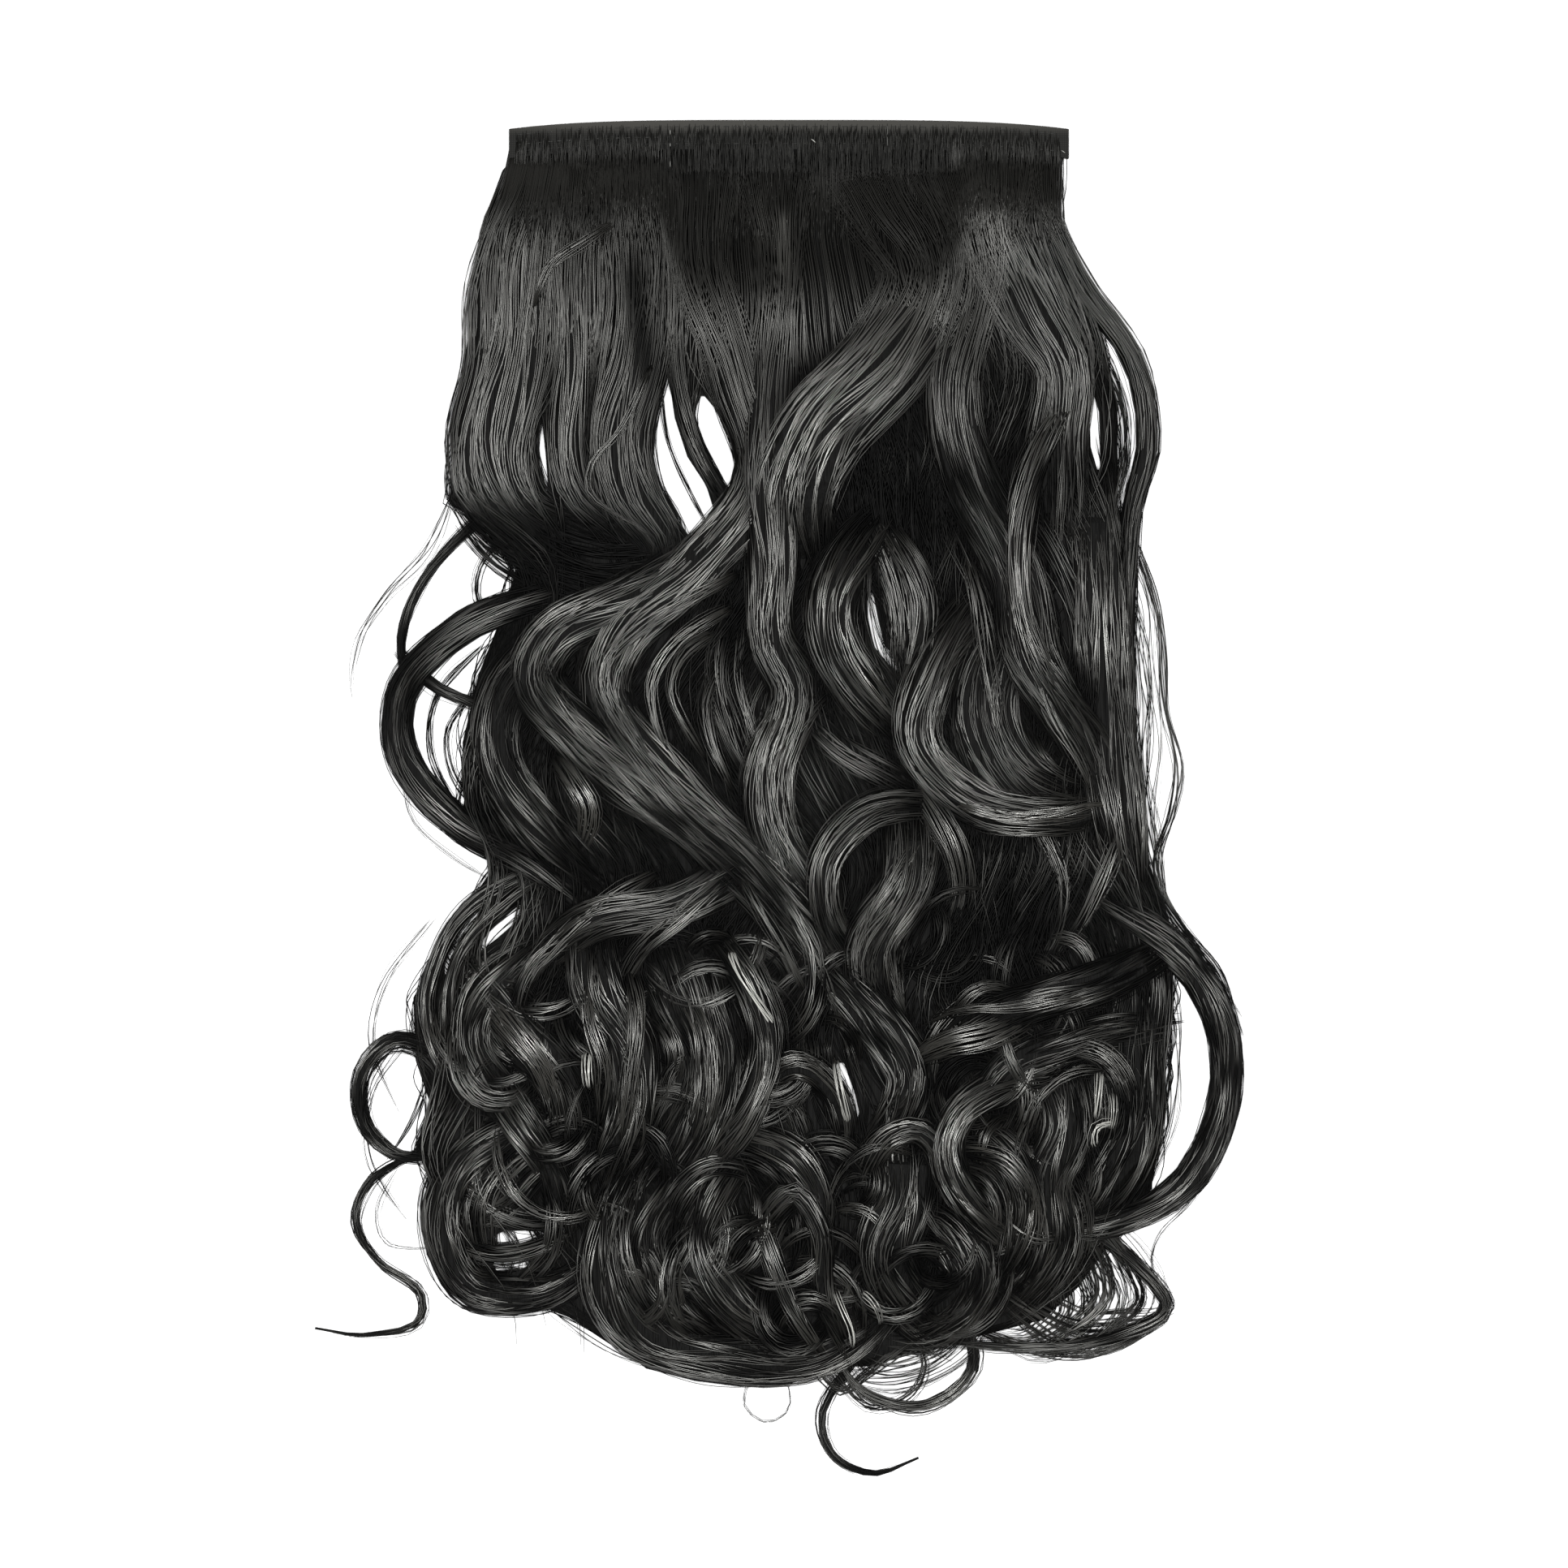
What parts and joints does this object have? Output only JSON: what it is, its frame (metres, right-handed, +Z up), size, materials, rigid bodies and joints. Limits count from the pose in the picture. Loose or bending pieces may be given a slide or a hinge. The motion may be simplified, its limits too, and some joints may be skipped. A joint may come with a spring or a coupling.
{
  "type": "clip-in hair extension",
  "caption": "Long curtain of wavy black false hair sewn into a narrow weft band with snap clips beneath, lying flat with its locks crossing and curling at the ends.",
  "frame": {"origin": "on the foot of the middle clip, under the middle of the weft, on the surface the extension lies on", "axes": "+Z up from the surface, +X along the weft, +Y from the curled ends towards the weft's top edge"},
  "size_m": [0.4145, 0.6062, 0.0219],
  "materials": {
    "hair": "glossy black synthetic fibre",
    "band": "matte black woven tape",
    "clip": "black stoved paint on sprung steel"
  },
  "bodies": {
    "root": {"hair": "hair", "weft_band": "band", "clip_1": "clip", "clip_2": "clip", "clip_3": "clip", "clip_4": "clip", "clip_5": "clip"}
  },
  "joints": []
}
